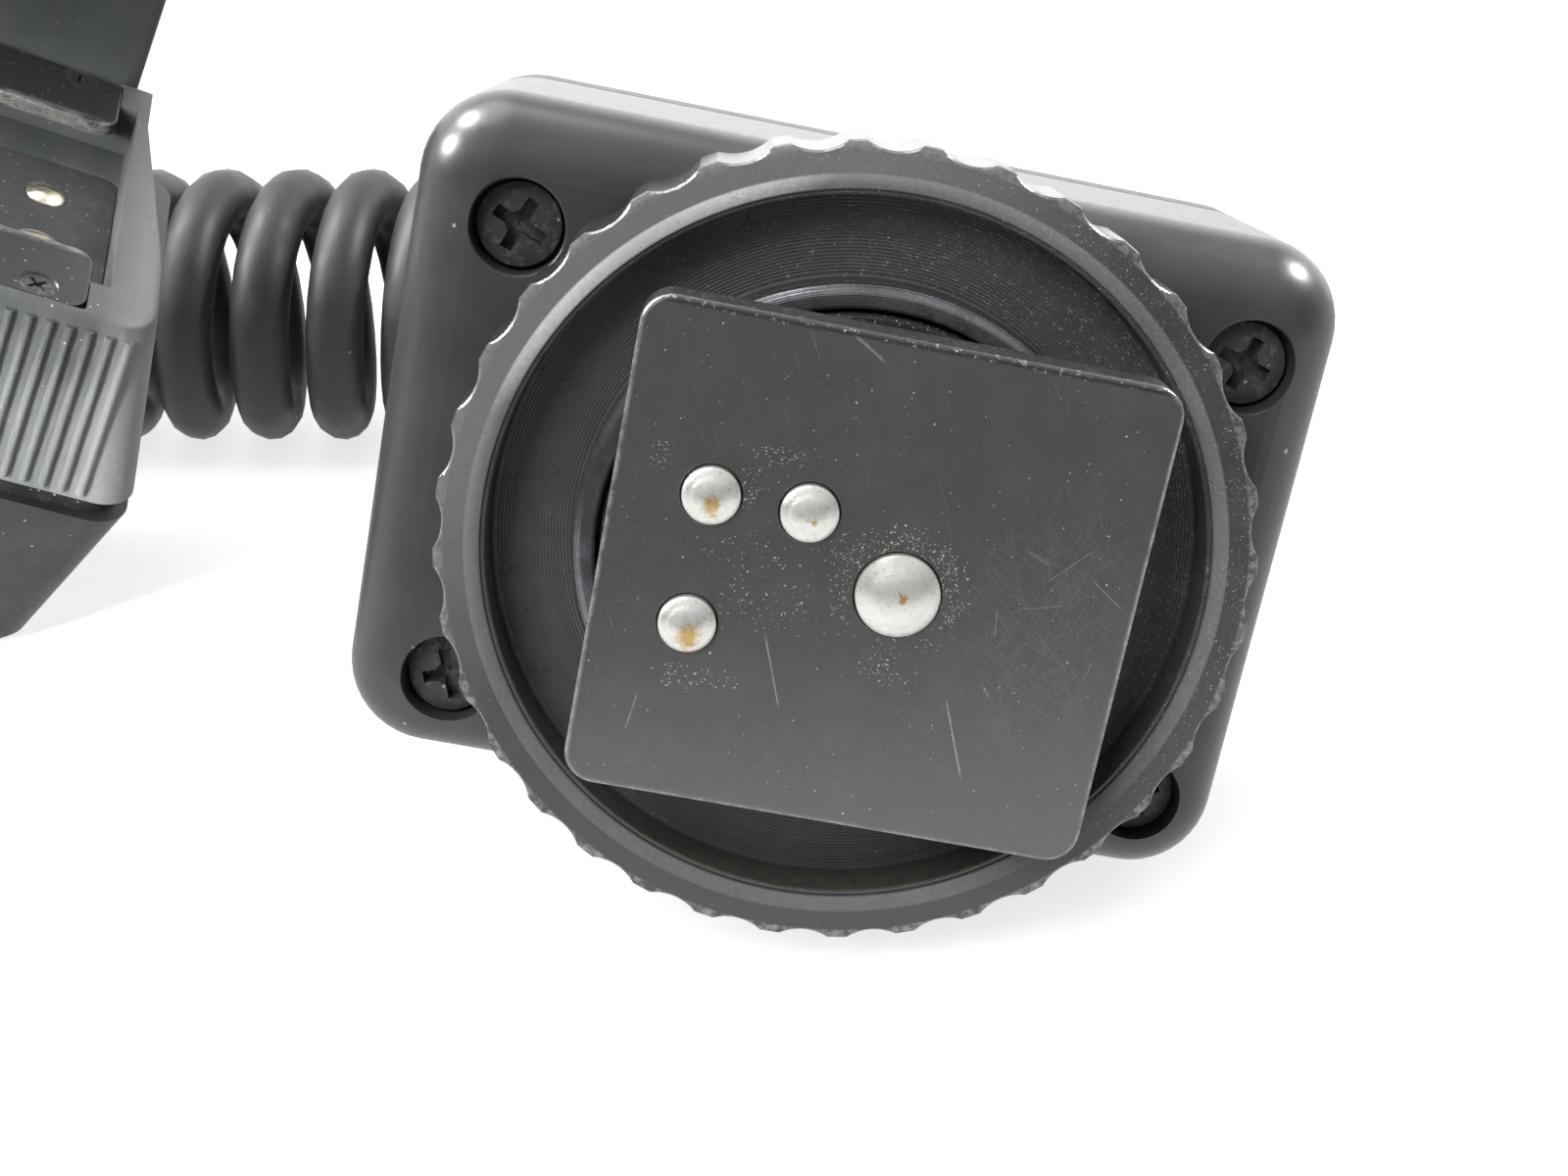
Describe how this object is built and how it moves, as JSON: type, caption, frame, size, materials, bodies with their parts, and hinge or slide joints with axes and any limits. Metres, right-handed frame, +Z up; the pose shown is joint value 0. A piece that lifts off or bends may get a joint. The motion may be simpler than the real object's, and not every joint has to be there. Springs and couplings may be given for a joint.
{
  "type": "off-camera flash cord",
  "caption": "Curly extension cord from a hot-shoe plug with sprung pins and a scalloped lock ring to a ribbed flash block with an accessory shoe and tripod bush.",
  "frame": {"origin": "on the table, at the middle of the two ends' footprint", "axes": "+Z up, +X from the flash block towards the camera plug, the plug's foot faces -Y"},
  "size_m": [0.1738, 0.086, 0.0496],
  "materials": {
    "body_black": "satin black moulding, slightly blue",
    "cover_black": "satin black moulding",
    "screw_black": "blackened steel",
    "ring_black": "black anodised aluminium, edges worn bright",
    "plate_black": "black anodised plate, brushed and scratched",
    "post_black": "black anodised thread",
    "washer_dark": "dark turned metal",
    "pin_nickel": "nickel plate, worn to brass at the tips",
    "steel": "plain steel",
    "insulator": "black phenolic",
    "board_green": "solder-masked glass fibre",
    "boot_rubber": "matt black rubber",
    "shell_black": "ribbed matt black moulding",
    "base_black": "dark matt moulding",
    "rail_steel": "blackened steel, bright where flashes have rubbed",
    "brass": "plated brass",
    "cord_grey": "matt dark grey sheath"
  },
  "bodies": {
    "cord_and_ends": {"plug_housing": "body_black", "plug_cover": "cover_black", "plug_screws": "screw_black", "threaded_post": "post_black", "post_screws": "steel", "foot_plate": "plate_black", "foot_screws": "steel", "pin_carrier": "insulator", "centre_spring": "steel", "signal_spring_a": "steel", "signal_spring_b": "steel", "signal_spring_c": "steel", "plug_board": "board_green", "plug_boot": "boot_rubber", "shoe_housing": "shell_black", "shoe_rails": "rail_steel", "rail_screws": "steel", "shoe_block": "insulator", "centre_contact": "pin_nickel", "signal_contact_a": "pin_nickel", "signal_contact_b": "pin_nickel", "signal_contact_c": "pin_nickel", "shoe_board": "board_green", "seam_gasket": "boot_rubber", "base_cover": "base_black", "base_screws": "screw_black", "tripod_bush": "brass", "tripod_plate": "steel", "shoe_boot": "boot_rubber", "plug_lead": "cord_grey", "curly_coil": "cord_grey", "shoe_lead": "cord_grey"},
    "pressure_washer": {"thrust_washer": "washer_dark"},
    "lock_ring": {"lock_ring": "ring_black"},
    "centre_pin": {"centre_pin": "pin_nickel"},
    "signal_pin_a": {"signal_pin_a": "pin_nickel"},
    "signal_pin_b": {"signal_pin_b": "pin_nickel"},
    "signal_pin_c": {"signal_pin_c": "pin_nickel"}
  },
  "joints": [
    {"name": "ring_travel", "type": "slide", "parent": "cord_and_ends", "child": "pressure_washer", "axis": [0.0209, -0.996, 0.0872], "range_m": [-0.00044, 0.00111]},
    {"name": "ring_turn", "type": "hinge", "parent": "pressure_washer", "child": "lock_ring", "pos_m": [0.03116, -0.02321, 0.01738], "axis": [0.0209, -0.996, 0.0872], "range_deg": [-200, 500]},
    {"name": "centre_pin_press", "type": "slide", "parent": "cord_and_ends", "child": "centre_pin", "axis": [-0.0209, 0.996, -0.0872], "range_m": [0, 0.00065], "stiffness_N_per_m": 250, "springref_m": -0.002, "deforming": ["centre_spring"]},
    {"name": "signal_pin_a_press", "type": "slide", "parent": "cord_and_ends", "child": "signal_pin_a", "axis": [-0.0209, 0.996, -0.0872], "range_m": [0, 0.0005], "stiffness_N_per_m": 200, "springref_m": -0.002, "deforming": ["signal_spring_a"]},
    {"name": "signal_pin_b_press", "type": "slide", "parent": "cord_and_ends", "child": "signal_pin_b", "axis": [-0.0209, 0.996, -0.0872], "range_m": [0, 0.0005], "stiffness_N_per_m": 200, "springref_m": -0.002, "deforming": ["signal_spring_b"]},
    {"name": "signal_pin_c_press", "type": "slide", "parent": "cord_and_ends", "child": "signal_pin_c", "axis": [-0.0209, 0.996, -0.0872], "range_m": [0, 0.0005], "stiffness_N_per_m": 200, "springref_m": -0.002, "deforming": ["signal_spring_c"]}
  ],
  "couplings": [
    {"joint": "ring_turn", "follows": "ring_travel", "rad_per_m": 7854}
  ]
}
